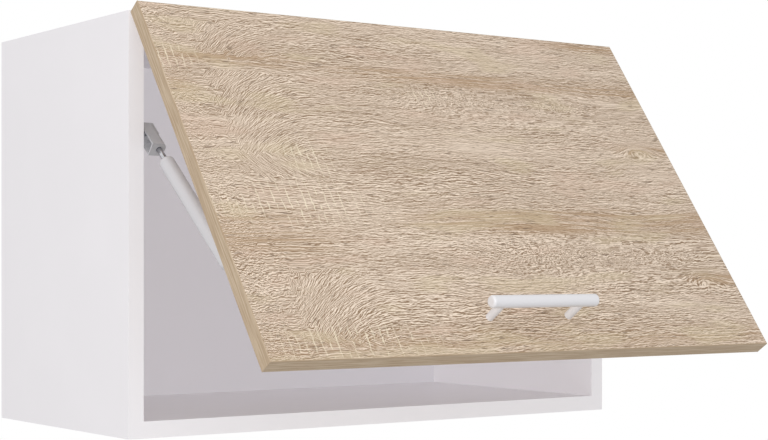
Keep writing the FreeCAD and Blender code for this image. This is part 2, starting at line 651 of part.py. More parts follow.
def build_hanger():
    """Left wall hanger: moulded housing, steel hook and two adjusting screws."""
    x0 = -INNER_X + HANGER_SEAT
    x1 = x0 + HANGER_THICKNESS
    y1 = -HANGER_BEHIND
    y0 = y1 - HANGER_LENGTH
    z1 = CEILING_Z - HANGER_SEAT
    z0 = z1 - HANGER_HEIGHT
    wall = HANGER_WALL
    shell = rounded_box(x0, x1, y0, y1, z0, z1, HANGER_ROUND, "x")
    cavity = rounded_box(x0 - OVER, x1 - wall, y0 + wall, y1 - wall, z0 + wall, z1 - wall,
                         HANGER_ROUND - wall, "x")
    rear_slot = box(x0 - OVER, x1 - 2 * wall, y1 - wall - OVER, y1 + OVER,
                    z0 + HANGER_SLOT_BELOW, z1 - HANGER_SLOT_ABOVE)
    mid_x = (x0 + x1 - wall) / 2
    mid_z = (z0 + z1) / 2
    screw_z = [mid_z - HANGER_SCREW_PITCH / 2, mid_z + HANGER_SCREW_PITCH / 2]
    shape = shell.cut(cavity).cut(rear_slot)
    for z in screw_z:
        shape = shape.cut(rod(V(mid_x, y0 - OVER, z), Y_AXIS, HANGER_ACCESS_DIAMETER,
                              wall + 2 * OVER))
    web = box(x0, x1 - wall, (y0 + y1) / 2 - wall, (y0 + y1) / 2, z0 + wall / 2, z1 - wall / 2)
    for z in screw_z:
        web = web.cut(rod(V(mid_x, y0, z), Y_AXIS,
                          HANGER_SCREW_DIAMETER + 2 * SLIDE_CLEARANCE, HANGER_LENGTH))
    shape = shape.fuse(web).removeSplitter()
    face_y = y0 + wall
    head_y = face_y + HANGER_SCREW_HEAD
    screws = []
    for z in screw_z:
        face = V(mid_x, face_y, z)
        head = rod(face, Y_AXIS, HANGER_SCREW_HEAD_DIAMETER, HANGER_SCREW_HEAD)
        shank = rod(V(mid_x, head_y, z), Y_AXIS, HANGER_SCREW_DIAMETER,
                    y1 - 2 * wall + HANGER_SCREW_TAIL - head_y)
        screws.append(head.fuse(shank).cut(slot_cut(face, Y_AXIS, Z_AXIS, HANGER_SCREW_SLOT)))
    return shape, build_hook(mid_x, mid_z, y1, screw_z), group(screws)


def build_hook(mid_x, mid_z, housing_rear, screw_z):
    """Hook plate on the screws' ends, with a nose that turns down behind the housing."""
    plate_y1 = housing_rear - 2 * HANGER_WALL
    plate_y0 = plate_y1 - HOOK_THICKNESS
    half = HOOK_NOSE_WIDTH / 2
    z0, z1 = mid_z - HOOK_HEIGHT / 2, mid_z + HOOK_HEIGHT / 2
    arm_top = mid_z + HOOK_ARM_RISE
    nose_y1 = -HOOK_NOSE_FROM_WALL
    plate = box(mid_x - half, mid_x + half, plate_y0, plate_y1, z0, z1)
    for z in screw_z:
        plate = plate.cut(rod(V(mid_x, plate_y0 - OVER, z), Y_AXIS,
                              HANGER_SCREW_DIAMETER + 2 * SLIDE_CLEARANCE,
                              HOOK_THICKNESS + 2 * OVER))
    arm = box(mid_x - HOOK_THICKNESS, mid_x + HOOK_THICKNESS, plate_y0, nose_y1,
              arm_top - HOOK_THICKNESS, arm_top)
    nose = box(mid_x - half, mid_x + half, nose_y1 - HOOK_THICKNESS, nose_y1,
               arm_top - HOOK_NOSE_DROP, arm_top)
    return plate.fuse(arm).fuse(nose).removeSplitter()


# ---- door ----
def build_door():
    """Door board, edge bands and bumpers."""
    x0, x1 = -DOOR_HALF + DOOR_BAND, DOOR_HALF - DOOR_BAND
    z0, z1 = DOOR_BOTTOM_Z + DOOR_BAND, DOOR_TOP_Z - DOOR_BAND
    board = box(x0, x1, DOOR_FRONT_Y, DOOR_BACK_Y, z0, z1)
    room = []
    for side in (-1, 1):
        room += [leaf_recess(side * HINGE_X, DOOR_LEAF_FRONT_Y - LEAF_SEAT, FRONT_Y + OVER),
                 barrel_notch(side * HINGE_X)]
    room += [countersunk_hole(*place, *HINGE_SCREW) for place in DOOR_HINGE_SCREWS]
    bracket = group([countersunk_hole(*place, *STRUT_SCREW) for place in bracket_screws()])
    handle_holes = [rod(V(x, DOOR_FRONT_Y - OVER, HANDLE_Z), Y_AXIS,
                        HANDLE_SCREW_DIAMETER + 2 * THROUGH_CLEARANCE,
                        DOOR_THICKNESS + 2 * OVER)
                    for x in HANDLE_POST_X]
    board = board.cut(group(room + handle_holes + [bracket, mirrored(bracket)]))
    parts["door_panel"] = turn_door(board)
    bands = []
    for sign, edge in ((-1, DOOR_BOTTOM_Z), (1, DOOR_TOP_Z)):
        strip = band_strip(edge - sign * DOOR_BAND, edge)
        bands.append(strip.extrude(V(2 * DOOR_HALF - 2 * DOOR_BAND, 0, 0)))
        bands[-1].translate(V(-DOOR_HALF + DOOR_BAND, 0, 0))
    for sign in (-1, 1):
        bands.append(side_band(sign))
    parts["door_edge_bands"] = turn_door(group([s for band in bands
                                                for s in band.cut(group(room)).Solids]))
    bumper = rod(V(-HALF_WIDTH + BOARD / 2, DOOR_BACK_Y, DOOR_BOTTOM_Z + BUMPER_RISE), Y_AXIS,
                 BUMPER_DIAMETER, BUMPER_HEIGHT)
    bumper = bumper.makeFillet(BUMPER_ROUND, edges_in(bumper, "Y", DOOR_BACK_Y + BUMPER_HEIGHT))
    parts["door_bumpers"] = turn_door(both_sides(bumper))


def band_strip(inner, outer):
    """Section in the YZ plane of the top or bottom band, outer corners rounded."""
    points = [V(0, DOOR_FRONT_Y, inner), V(0, DOOR_BACK_Y, inner), V(0, DOOR_BACK_Y, outer),
              V(0, DOOR_FRONT_Y, outer)]
    return outline_face(points, [0, 0, DOOR_BAND_ROUND, DOOR_BAND_ROUND])


def side_band(sign):
    """Upright band of one door edge, outer corners rounded, over the full door height."""
    inner, outer = sign * (DOOR_HALF - DOOR_BAND), sign * DOOR_HALF
    points = [V(inner, DOOR_FRONT_Y, DOOR_BOTTOM_Z), V(inner, DOOR_BACK_Y, DOOR_BOTTOM_Z),
              V(outer, DOOR_BACK_Y, DOOR_BOTTOM_Z), V(outer, DOOR_FRONT_Y, DOOR_BOTTOM_Z)]
    section = outline_face(points, [0, 0, DOOR_BAND_ROUND, DOOR_BAND_ROUND])
    return section.extrude(V(0, 0, DOOR_TOP_Z - DOOR_BOTTOM_Z))


def build_handle():
    """Round bar on two posts, screwed from behind."""
    bar = rod(V(-HANDLE_LENGTH / 2, BAR_Y, HANDLE_Z), X_AXIS, HANDLE_DIAMETER, HANDLE_LENGTH)
    rims = edges_in(bar, "X", -HANDLE_LENGTH / 2) + edges_in(bar, "X", HANDLE_LENGTH / 2)
    bar = bar.makeFillet(HANDLE_END_ROUND, rims)
    posts, screws = [], []
    for x in HANDLE_POST_X:
        post = rod(V(x, DOOR_FRONT_Y, HANDLE_Z), V(0, -1, 0), POST_DIAMETER, HANDLE_STAND_OFF)
        post = post.cut(rod(V(-HANDLE_LENGTH / 2, BAR_Y, HANDLE_Z), X_AXIS,
                            HANDLE_DIAMETER, HANDLE_LENGTH))
        post = max(post.Solids, key=lambda s: s.Volume)
        post = post.cut(rod(V(x, DOOR_FRONT_Y + OVER, HANDLE_Z), V(0, -1, 0),
                            HANDLE_SCREW_DIAMETER + 2 * HOLE_CLEARANCE,
                            HANDLE_SCREW_BITE + HOLE_END + OVER))
        posts.append(post)
        screws.append(handle_screw(x))
    parts["handle_bar"] = turn_door(bar)
    parts["handle_posts"] = turn_door(group(posts))
    parts["handle_screws"] = turn_door(group(screws))


def handle_screw(x):
    """Pan-headed machine screw from the door's back into a post."""
    seat = V(x, DOOR_BACK_Y, HANDLE_Z)
    shank = rod(seat, V(0, -1, 0), HANDLE_SCREW_DIAMETER, DOOR_THICKNESS + HANDLE_SCREW_BITE)
    head = revolved([(0, 0), (0, HANDLE_SCREW_HEAD_DIAMETER / 2),
                     (HANDLE_SCREW_RIM, HANDLE_SCREW_HEAD_DIAMETER / 2),
                     (HANDLE_SCREW_HEAD_HEIGHT, HANDLE_SCREW_CROWN_DIAMETER / 2),
                     (HANDLE_SCREW_HEAD_HEIGHT, 0)], seat, Y_AXIS, X_AXIS)
    crown = seat + Y_AXIS * HANDLE_SCREW_HEAD_HEIGHT
    return shank.fuse(head).cut(cross_cut(crown, V(0, -1, 0), HANDLE_CROSS))


def build_hinges():
    """Two butt hinges: fixed leaf, door leaf and pin each, and their screws."""
    top_holes = group([countersunk_hole(*place, *HINGE_SCREW) for place in TOP_HINGE_SCREWS])
    door_holes = group([countersunk_hole(*place, *HINGE_SCREW) for place in DOOR_HINGE_SCREWS])
    for name, side in (("left", -1), ("right", 1)):
        centre = side * HINGE_X
        top_leaf = leaf(centre, FRONT_Y, TOP_LEAF_REAR_Y, True)
        door_leaf = leaf(centre, DOOR_LEAF_FRONT_Y, DOOR_BACK_Y, False)
        parts[name + "_hinge_top_leaf"] = top_leaf.cut(top_holes)
        parts[name + "_hinge_door_leaf"] = turn_door(door_leaf.cut(door_holes))
        parts[name + "_hinge_pin"] = hinge_pin(centre)
    parts["hinge_top_screws"] = group([countersunk_screw(*place, *HINGE_SCREW)
                                       for place in TOP_HINGE_SCREWS])
    parts["hinge_door_screws"] = turn_door(group([countersunk_screw(*place, *HINGE_SCREW)
                                                  for place in DOOR_HINGE_SCREWS]))


# ---- gas strut, drawn along Z from the upper ball ----
def ball_stud(foot):
    """Ball at the origin on a shank along -X that ends at the given foot, with a flange there."""
    shank = rod(V(-foot, 0, 0), X_AXIS, STUD_DIAMETER, foot)
    flange = rod(V(-foot, 0, 0), X_AXIS, STUD_FLANGE_DIAMETER, STUD_FLANGE)
    return Part.makeSphere(BALL_DIAMETER / 2).fuse([shank, flange]).removeSplitter()


def upper_socket():
    """Hollow block, open towards the side board, with a core that holds the ball and the neck."""
    half = SOCKET_WIDTH / 2
    wall = SOCKET_WALL

    def section(inner, outer, half_width, radius, z):
        points = [V(inner, -half_width, z), V(outer, -half_width, z), V(outer, half_width, z),
                  V(inner, half_width, z)]
        return outline_face(points, [0, radius, radius, 0])

    length = SOCKET_BACK + SOCKET_FRONT
    block = section(-SOCKET_INNER, SOCKET_OUTER, half, SOCKET_ROUND, -SOCKET_BACK)
    block = block.extrude(V(0, 0, length))
    open_edges = edges_in(block, "X", -SOCKET_INNER)
    far_edges = [edge for edge in edges_in(block, "Z", -SOCKET_BACK)
                 if not any(edge.isSame(other) for other in open_edges)]
    block = block.makeFillet(SOCKET_END_ROUND, far_edges)
    hollow = section(-SOCKET_INNER - OVER, SOCKET_OUTER - wall, half - wall, SOCKET_ROUND - wall,
                     -SOCKET_BACK + wall)
    hollow = hollow.extrude(V(0, 0, length - 2 * wall))
    way_out = rod(V(0, 0, SOCKET_FRONT - wall - OVER), Z_AXIS, SOCKET_NECK_HOLE, wall + 2 * OVER)
    core = box(-SOCKET_LIP, SOCKET_OUTER - wall / 2, -half + wall / 2, half - wall / 2,
               -SOCKET_BACK + wall / 2, SOCKET_CORE)
    shape = block.cut(hollow).cut(way_out).fuse(core)
    neck_hole = rod(V(0, 0, SOCKET_CORE - NECK_BITE), Z_AXIS, NECK_DIAMETER + 2 * SLIDE_CLEARANCE,
                    NECK_BITE + OVER)
    return shape.cut(ball_seat(SOCKET_INNER)).cut(neck_hole).removeSplitter()


def ball_seat(face):
    """Tool for a ball's seat at the origin, with its snap-in mouth towards the face at -X."""
    seat = Part.makeSphere(BALL_DIAMETER / 2 + BALL_SEAT_CLEARANCE)
    return seat.fuse(rod(V(0, 0, 0), V(-1, 0, 0), BALL_ENTRY_DIAMETER, face + OVER))


def cylinder():
    """Pressure tube with a rounded shoulder, a thick rear wall and a mouth rolled inwards."""
    body = rod(V(0, 0, CYLINDER_START), Z_AXIS, CYLINDER_DIAMETER, CYLINDER_LENGTH)
    body = body.makeFillet(CYLINDER_SHOULDER_ROUND, edges_in(body, "Z", CYLINDER_START))
    body = body.makeFillet(CYLINDER_LIP_ROUND, edges_in(body, "Z", CYLINDER_END))
    body = body.cut(rod(V(0, 0, CYLINDER_START + CYLINDER_REAR_WALL), Z_AXIS,
                        CYLINDER_DIAMETER - 2 * CYLINDER_WALL,
                        CYLINDER_LENGTH - CYLINDER_REAR_WALL - CYLINDER_LIP))
    body = body.cut(rod(V(0, 0, CYLINDER_END - CYLINDER_LIP - OVER), Z_AXIS,
                        CYLINDER_LIP_DIAMETER, CYLINDER_LIP + 2 * OVER))
    return body.cut(rod(V(0, 0, CYLINDER_START - OVER), Z_AXIS,
                        NECK_DIAMETER + 2 * SLIDE_CLEARANCE, CYLINDER_REAR_WALL + 2 * OVER))


def neck():
    """Threaded stud between the upper socket's core and the cylinder's rear wall."""
    start = SOCKET_CORE - NECK_BITE + SLIDE_CLEARANCE
    return rod(V(0, 0, start), Z_AXIS, NECK_DIAMETER,
               CYLINDER_START + CYLINDER_REAR_WALL - start)


def ring(start, length, outer_diameter, inner_diameter):
    """Ring round the strut's axis."""
    profile = [(0, inner_diameter / 2), (0, outer_diameter / 2), (length, outer_diameter / 2),
               (length, inner_diameter / 2)]
    return revolved(profile, V(0, 0, start), Z_AXIS, X_AXIS)


def lower_socket():
    """Round socket on the rod's end, open towards the bracket's ear; drawn at the lower ball."""
    head = rod(V(-LOWER_SOCKET_INNER, 0, 0), X_AXIS, LOWER_SOCKET_DIAMETER,
               LOWER_SOCKET_INNER + LOWER_SOCKET_OUTER)
    head = head.makeFillet(LOWER_SOCKET_ROUND, edges_in(head, "X", LOWER_SOCKET_OUTER))
    stem = rod(V(0, 0, -LOWER_SOCKET_REACH), Z_AXIS, LOWER_SOCKET_NECK_DIAMETER,
               LOWER_SOCKET_REACH)
    stem = stem.makeFillet(LOWER_SOCKET_NECK_ROUND, edges_in(stem, "Z", -LOWER_SOCKET_REACH))
    hole = rod(V(0, 0, -LOWER_SOCKET_REACH - OVER), Z_AXIS, ROD_DIAMETER + 2 * SLIDE_CLEARANCE,
               LOWER_SOCKET_BITE + OVER)
    shape = head.fuse(stem).cut(ball_seat(LOWER_SOCKET_INNER)).cut(hole)
    shape.translate(V(0, 0, STRUT_SPAN))
    return shape.removeSplitter()


def build_struts():
    """Left strut with its plate, bracket and screws, and the mirrored right one."""
    plate_y, half_height = FRONT_Y + SIDE_PLATE_SETBACK, SIDE_PLATE_HEIGHT / 2
    plate = rounded_box(-INNER_X, -INNER_X + SIDE_PLATE_THICKNESS,
                        plate_y, plate_y + SIDE_PLATE_WIDTH,
                        UPPER_BALL.z - half_height, UPPER_BALL.z + half_height,
                        SIDE_PLATE_ROUND, "x")
    plate = plate.cut(group([countersunk_hole(*p, *STRUT_SCREW) for p in side_plate_screws()]))
    upper_foot = STRUT_FROM_SIDE - SIDE_PLATE_THICKNESS - STUD_FOOT_GAP
    bore = CYLINDER_DIAMETER - 2 * CYLINDER_WALL
    rod_end = STRUT_SPAN - LOWER_SOCKET_REACH + LOWER_SOCKET_BITE - SLIDE_CLEARANCE
    sliding = ROD_DIAMETER + 2 * SLIDE_CLEARANCE
    left = {
        "strut_side_plate": plate,
        "strut_upper_ball": lay_strut(ball_stud(upper_foot)),
        "strut_upper_socket": lay_strut(upper_socket()),
        "strut_neck": lay_strut(neck()),
        "strut_cylinder": lay_strut(cylinder()),
        "strut_gland": lay_strut(ring(GLAND_START, GLAND_LENGTH, bore - 2 * SLIDE_CLEARANCE,
                                      sliding)),
        "strut_rod": lay_strut(rod(V(0, 0, PISTON_START), Z_AXIS, ROD_DIAMETER,
                                   rod_end - PISTON_START)),
        "strut_piston": lay_strut(ring(PISTON_START, PISTON_LENGTH,
                                       bore - 2 * PISTON_CLEARANCE, sliding)),
        "strut_lower_socket": lay_strut(lower_socket()),
    }
    left["strut_door_bracket"], left["strut_lower_ball"] = door_bracket_and_ball()
    for name, shape in left.items():
        parts["left_" + name] = shape
        parts["right_" + name] = mirrored(shape)
    side_screws = group([countersunk_screw(*p, *STRUT_SCREW) for p in side_plate_screws()])
    door_screws = group([countersunk_screw(*p, *STRUT_SCREW) for p in bracket_screws()])
    parts["strut_side_screws"] = group(side_screws.Solids + mirrored(side_screws).Solids)
    parts["strut_door_screws"] = turn_door(group(door_screws.Solids
                                                 + mirrored(door_screws).Solids))


def door_bracket_and_ball():
    """Angle bracket on the door's back and the ball stud riveted through its ear."""
    x0 = -INNER_X + DOOR_BRACKET_FROM_SIDE
    centre = LOWER_BALL_CLOSED
    half = DOOR_BRACKET_LENGTH / 2
    base = rounded_box(x0, x0 + DOOR_BRACKET_REACH, DOOR_BACK_Y,
                       DOOR_BACK_Y + DOOR_BRACKET_THICKNESS, centre.z - half, centre.z + half,
                       DOOR_BRACKET_ROUND, "y")
    ear = box(x0, x0 + DOOR_BRACKET_EAR, DOOR_BACK_Y, centre.y, centre.z - EAR_ROUND,
              centre.z + EAR_ROUND)
    ear = ear.fuse(rod(V(x0, centre.y, centre.z), X_AXIS, 2 * EAR_ROUND, DOOR_BRACKET_EAR))
    hole = rod(V(x0 - OVER, centre.y, centre.z), X_AXIS, STUD_DIAMETER + 2 * SLIDE_CLEARANCE,
               DOOR_BRACKET_EAR + 2 * OVER)
    screw_holes = group([countersunk_hole(*p, *STRUT_SCREW) for p in bracket_screws()])
    bracket = base.fuse(ear).cut(hole).cut(screw_holes).removeSplitter()
    seat = STRUT_X - (x0 + DOOR_BRACKET_EAR)
    stud = ball_stud(seat - SLIDE_CLEARANCE)
    end = V(-seat - DOOR_BRACKET_EAR - RIVET_HEIGHT, 0, 0)
    tail = rod(end, X_AXIS, STUD_DIAMETER, DOOR_BRACKET_EAR + RIVET_HEIGHT + STUD_FLANGE)
    rivet = rod(end, X_AXIS, RIVET_DIAMETER, RIVET_HEIGHT - SLIDE_CLEARANCE)
    stud = stud.fuse([tail, rivet]).removeSplitter()
    stud.translate(centre)
    return turn_door(bracket), turn_door(stud)


def main():
    os.makedirs("parts", exist_ok=True)
    build_boards()
    build_fittings()
    housing, hook, screws = build_hanger()
    for name, shape in (("hanger_housing", housing), ("hanger_hook", hook),
                        ("hanger_screws", screws)):
        parts["left_" + name] = shape
        parts["right_" + name] = mirrored(shape)
    build_door()
    build_handle()
    build_hinges()
    build_struts()
    for name, shape in parts.items():
        shape.exportStep("parts/" + name + ".step")
        print(name, len(shape.Solids), "solids", shape.isValid(), round(shape.Volume))
    print("strut span %.2f tilt %.2f" % (STRUT_SPAN, STRUT_TILT))


main()
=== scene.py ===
"""Looks of a lift-up wall cabinet: finishes, light and camera around the fixed model."""

import json
import math

import bpy
from mathutils import Matrix, Vector


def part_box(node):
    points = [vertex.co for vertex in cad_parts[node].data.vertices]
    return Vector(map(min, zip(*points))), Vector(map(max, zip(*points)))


bl_info = {
    "name": "Lift Up Wall Cabinet",
    "version": (1, 0, 0),
    "blender": (4, 5, 0),
    "location": "View3D > Sidebar > Cabinet",
    "description": "Finishes and stage of a wall cabinet with a lift-up door",
    "category": "Object",
}

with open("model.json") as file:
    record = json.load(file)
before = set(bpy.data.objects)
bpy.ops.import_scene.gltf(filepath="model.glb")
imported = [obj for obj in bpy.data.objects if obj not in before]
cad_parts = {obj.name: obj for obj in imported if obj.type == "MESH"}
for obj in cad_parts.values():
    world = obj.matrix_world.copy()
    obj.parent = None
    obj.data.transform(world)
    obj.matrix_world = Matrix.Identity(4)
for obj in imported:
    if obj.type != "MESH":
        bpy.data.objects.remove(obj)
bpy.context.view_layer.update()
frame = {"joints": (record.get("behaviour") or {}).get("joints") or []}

MM = 0.001
HINGE = next(joint for joint in frame["joints"] if joint["name"] == "door_hinge")
AXIS_Y, AXIS_Z = HINGE["pos_m"][1], HINGE["pos_m"][2]
REST_OPENING = math.radians(-HINGE["range_deg"][0])
CARCASS_LOW, CARCASS_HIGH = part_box("left_side")
DOOR_LOW, DOOR_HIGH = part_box("door_edge_bands")
DOOR_WIDTH_MM = (DOOR_HIGH.x - DOOR_LOW.x) / MM
BAND_MM = (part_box("door_panel")[0].x - DOOR_LOW.x) / MM

# The photograph's camera, worked out from the edges of the carcass.
CAMERA_PLACE = Vector((-1.06466, -1.73167, -0.03839))
CAMERA_YAW = math.radians(34.80)
FOCAL_PIXELS = 1740.68
OPTICAL_CENTRE = (337.91, 266.06)
IMAGE_SIZE = (768, 440)
SENSOR_MM = 36.0


# ---------------------------------------------------------------- shader expressions
class Socket:
    """A shader value that takes part in Python expressions; each operator adds a Math node."""

    def __init__(self, finish, link):
        self.finish = finish
        self.link = link

    def maths(self, operation, *values):
        """One Math node on the given values."""
        return self.finish.maths(operation, *values)

    def __add__(self, other):
        return self.maths("ADD", self, other)

    def __sub__(self, other):
        return self.maths("SUBTRACT", self, other)

    def __mul__(self, other):
        return self.maths("MULTIPLY", self, other)

    def __truediv__(self, other):
        return self.maths("DIVIDE", self, other)

    def __neg__(self):
        return self.maths("MULTIPLY", self, -1.0)

    def __radd__(self, other):
        return self.maths("ADD", other, self)

    def __rsub__(self, other):
        return self.maths("SUBTRACT", other, self)

    def __rmul__(self, other):
        return self.maths("MULTIPLY", other, self)

    def __rtruediv__(self, other):
        return self.maths("DIVIDE", other, self)

    def __gt__(self, other):
        return self.maths("GREATER_THAN", self, other)

    def size(self):
        """The value without its sign."""
        return self.maths("ABSOLUTE", self)

    def wave(self):
        """Sine of the value."""
        return self.maths("SINE", self)

    def cap(self):
        """The value held between 0 and 1."""
        return self.maths("MINIMUM", self.maths("MAXIMUM", self, 0.0), 1.0)

    def rise(self, start, end):
        """0 before start and 1 after end, with a smooth climb between them."""
        t = ((self - start) / (end - start)).cap()
        return t * t * (3.0 - 2.0 * t)

    def bell(self, centre, width):
        """1 at the centre, falling off as exp(-(distance / width) squared)."""
        t = (self - centre) / width
        return self.maths("EXPONENT", -(t * t))


class Finish:
    """One material: its node tree, its pattern coordinates and its surface shader."""

    def __init__(self, name, roughness=0.5, metallic=0.0, coat=0.0):
        self.material = bpy.data.materials.new(name)
        self.material.use_nodes = True
        self.tree = self.material.node_tree
        self.surface = self.tree.nodes["Principled BSDF"]
        self.set("Roughness", roughness)
        self.set("Metallic", metallic)
        self.set("Coat Weight", coat)
        self.position = self.node("ShaderNodeTexCoord", output="Object")

    def node(self, kind, settings=None, sockets=None, output=0):
        """Add a node, set its settings, then its sockets; gives one of its outputs."""
        made = self.tree.nodes.new(kind)
        for name, value in (settings or {}).items():
            setattr(made, name, value)
        for key, value in (sockets or {}).items():
            if isinstance(value, Socket):
                self.tree.links.new(value.link, made.inputs[key])
            else:
                made.inputs[key].default_value = value
        return Socket(self, made.outputs[output])

    def maths(self, operation, *values):
        """One Math node on the given values."""
        return self.node("ShaderNodeMath", {"operation": operation}, dict(enumerate(values)))

    def set(self, name, value):
        """Give the surface shader a value or a link."""
        if isinstance(value, Socket):
            self.tree.links.new(value.link, self.surface.inputs[name])
        else:
            self.surface.inputs[name].default_value = value

    def axes(self):
        """X, Y and Z of the object's own position."""
        split = self.tree.nodes.new("ShaderNodeSeparateXYZ")
        self.tree.links.new(self.position.link, split.inputs[0])
        return [Socket(self, out) for out in split.outputs]

    def point(self, x, y, z):
        """A vector from three values."""
        return self.node("ShaderNodeCombineXYZ", {}, {0: x, 1: y, 2: z})

    def noise(self, vector, scale=1.0, detail=2.0, roughness=0.5):
        """Smooth noise, 0 to 1, over a vector."""
        return self.node("ShaderNodeTexNoise", {"noise_dimensions": "3D"},
                         {"Vector": vector, "Scale": scale, "Detail": detail,
                          "Roughness": roughness}, "Fac")

    def mix(self, amount, first, second):
        """Colour between two colours."""
        return self.node("ShaderNodeMix", {"data_type": "RGBA"},
                         {0: amount, 6: first, 7: second}, 2)

    def bump(self, height, depth_mm, strength):
        """Relief whose height runs from 0 to 1 over the given depth."""
        self.set("Normal", self.node("ShaderNodeBump", {},
                                     {"Strength": strength, "Distance": depth_mm * MM,
                                      "Height": height}))


def paint(red, green, blue):
    """Linear colour with alpha, from the 0 to 255 values of a screen."""
    def linear(value):
        value = value / 255
        return value / 12.92 if value <= 0.04045 else ((value + 0.055) / 1.055) ** 2.4
    return (linear(red), linear(green), linear(blue), 1.0)


def coat(finish, *names):
    """Give a finish to every material slot of the named nodes or pieces."""
    for name in names:
        mesh = bpy.data.objects[name].data
        if not mesh.materials:
            mesh.materials.append(finish.material)
        for index in range(len(mesh.materials)):
            mesh.materials[index] = finish.material


def pair(name):
    """The left-hand and right-hand names of a fitting."""
    return ["left_" + name, "right_" + name]


# ---------------------------------------------------------------- sizes and colours to change
def colour_property(name, description, default):
    """A colour that the panel shows as a swatch."""
    return bpy.props.FloatVectorProperty(name=name, description=description, default=default,
                                         subtype="COLOR", size=4, min=0.0, max=1.0)


class BoardSettings(bpy.types.PropertyGroup):
    white: colour_property("White", "Melamine face of the boards", paint(233, 230, 233))
    # Painted light: the edging's white is set lighter than the boards' white to offset the
    # shade that falls on the front edges.
    edging: colour_property("Edging", "Strip on the front edges", paint(240, 238, 241))
    back: colour_property("Back", "Lacquered face of the back", paint(223, 221, 226))
    raw_back: colour_property("Raw back", "Bare face of the back", paint(142, 108, 76))


class OakSettings(bpy.types.PropertyGroup):
    light: colour_property("Light", "Ridges of the grain", paint(240, 222, 203))
    dark: colour_property("Dark", "Grooves of the grain", paint(132, 105, 76))
    crack: colour_property("Crack", "Deepest pores", paint(112, 90, 68))
    brown: colour_property("Brown", "Bands of late wood", paint(166, 136, 103))
    pink: colour_property("Pink", "Reddish clouds", paint(206, 178, 158))
    yellow: colour_property("Yellow", "Yellowish clouds", paint(204, 188, 154))
    saw_mark: colour_property("Saw mark", "Light strokes of the saw", paint(236, 224, 198))
    edge_light: colour_property("Edge light", "Edge band's pale streaks", paint(195, 176, 151))
    edge_dark: colour_property("Edge dark", "Edge band's brown streaks", paint(170, 147, 120))
    relief: bpy.props.FloatProperty(name="Relief", description="Depth of the pores",
                                    default=0.25 * MM, unit="LENGTH", min=0.0)


class FittingSettings(bpy.types.PropertyGroup):
    handle: colour_property("Handle", "Satin lacquer of the handle", paint(225, 224, 227))
    zinc: colour_property("Zinc", "Plated steel", paint(196, 199, 204))
    tube: colour_property("Tube", "Enamel of the strut's tube", paint(201, 199, 202))
    socket: colour_property("Socket", "Moulded ends of the strut", paint(180, 179, 182))


class StageSettings(bpy.types.PropertyGroup):
    floor_drop: bpy.props.FloatProperty(name="Floor drop", description="Cabinet to floor",
                                        default=1.40, unit="LENGTH", min=0.0)
    sky: bpy.props.FloatProperty(name="Sky", description="Strength of the light all round",
                                 default=0.56, min=0.0)
    lamp: bpy.props.FloatProperty(name="Lamps", description="Factor on every lamp",
                                  default=1.0, min=0.0)


# ---------------------------------------------------------------- boards
LACQUER_MM = 0.05             # how deep the back's lacquer reaches
LACQUER_ROUGHNESS = 0.45
BARE_ROUGHNESS = 0.78


def speckle(finish, scale_mm):
    """Fine even grain: noise whose waves are scale_mm long."""
    return finish.noise(finish.position, scale=1 / (scale_mm * MM), detail=3.0)


def darker(colour, share):
    """The colour with its three channels brought down to a share."""
    return tuple(channel * share for channel in colour[:3]) + (1.0,)


def board_finish(name, colour, gloss=0.42):
    """Melamine: nearly even white, a faint cloud in it and a fine pebbled skin."""
    finish = Finish(name, roughness=gloss)
    cloud = speckle(finish, scale_mm=90.0)
    shade = darker(colour, 0.988)
    finish.set("Base Color", finish.mix(cloud.rise(0.35, 0.65), shade, colour))
    pebble = speckle(finish, scale_mm=0.9)
    finish.set("Roughness", gloss + (pebble - 0.5) * 0.12)
    finish.bump(pebble, depth_mm=0.03, strength=0.35)
    return finish


class CABINET_OT_finish_boards(bpy.types.Operator):
    """Give the white boards, their edging and the hardboard back their finishes"""
    bl_idname = "cabinet.finish_boards"
    bl_label = "White boards"

    def execute(self, context):
        settings = context.scene.cabinet_boards
        coat(board_finish("white_melamine", tuple(settings.white)),
             "left_side", "right_side", "top_panel", "bottom_panel")
        # the edging's lighter white is painted light, offsetting the shade on the front edges
        coat(board_finish("white_edging", tuple(settings.edging), 0.36), "carcass_edge_bands")
        coat(back_finish(tuple(settings.back), tuple(settings.raw_back)), "back_panel")
        return {"FINISHED"}


def back_finish(lacquer, raw):
    """Hardboard: white lacquer on the face inside the cabinet, bare brown fibre elsewhere."""
    finish = Finish("hardboard_back", roughness=0.5)
    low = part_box("back_panel")[0]
    depth = finish.axes()[1]
    inside = 1.0 - (depth > low.y + LACQUER_MM * MM)
    fibre = speckle(finish, scale_mm=2.2)
    streak = speckle(finish, scale_mm=14.0)
    bare = finish.mix((fibre * 0.7 + streak * 0.5).rise(0.35, 0.85), darker(raw, 0.72), raw)
    finish.set("Base Color", finish.mix(inside, bare, lacquer))
    finish.set("Roughness", BARE_ROUGHNESS - inside * (BARE_ROUGHNESS - LACQUER_ROUGHNESS))
    finish.bump(fibre, depth_mm=0.05, strength=0.5)
    return finish


# ---------------------------------------------------------------- oak decor of the door
def door_plane(finish):
    """Millimetres across the door from its left edge, down it from the hinge, and into it.

    The door is stored open, so the position is first turned back about the hinge axis."""
    x, y, z = finish.axes()
    y, z = y - AXIS_Y, z - AXIS_Z
    cosine, sine = math.cos(REST_OPENING), math.sin(REST_OPENING)
    across = x / MM + DOOR_WIDTH_MM / 2
    down = -(y * sine + z * cosine) / MM
    depth = (y * cosine - z * sine) / MM
    return across, down, depth


# Flat-sawn arches: (axis down the door, reach above it, reach below it), in mm.
ARCHES = ((58.0, 38.0, 0.0), (176.0, 98.0, 26.0), (374.0, 66.0, 8.0))
ARCH_START = 150.0            # lines begin to bend to the left of this, in mm across
ARCH_END = 48.0               # and are lost in even speckle to the left of this
ARCH_BEND = 0.0055            # bend over the square of the way from the start, per mm
ARCH_BORDER_BREAK = 80.0      # how far noise breaks up the arches' left border, in mm
ARCH_SEAM_BREAK = 36.0        # and the seams between them, in mm
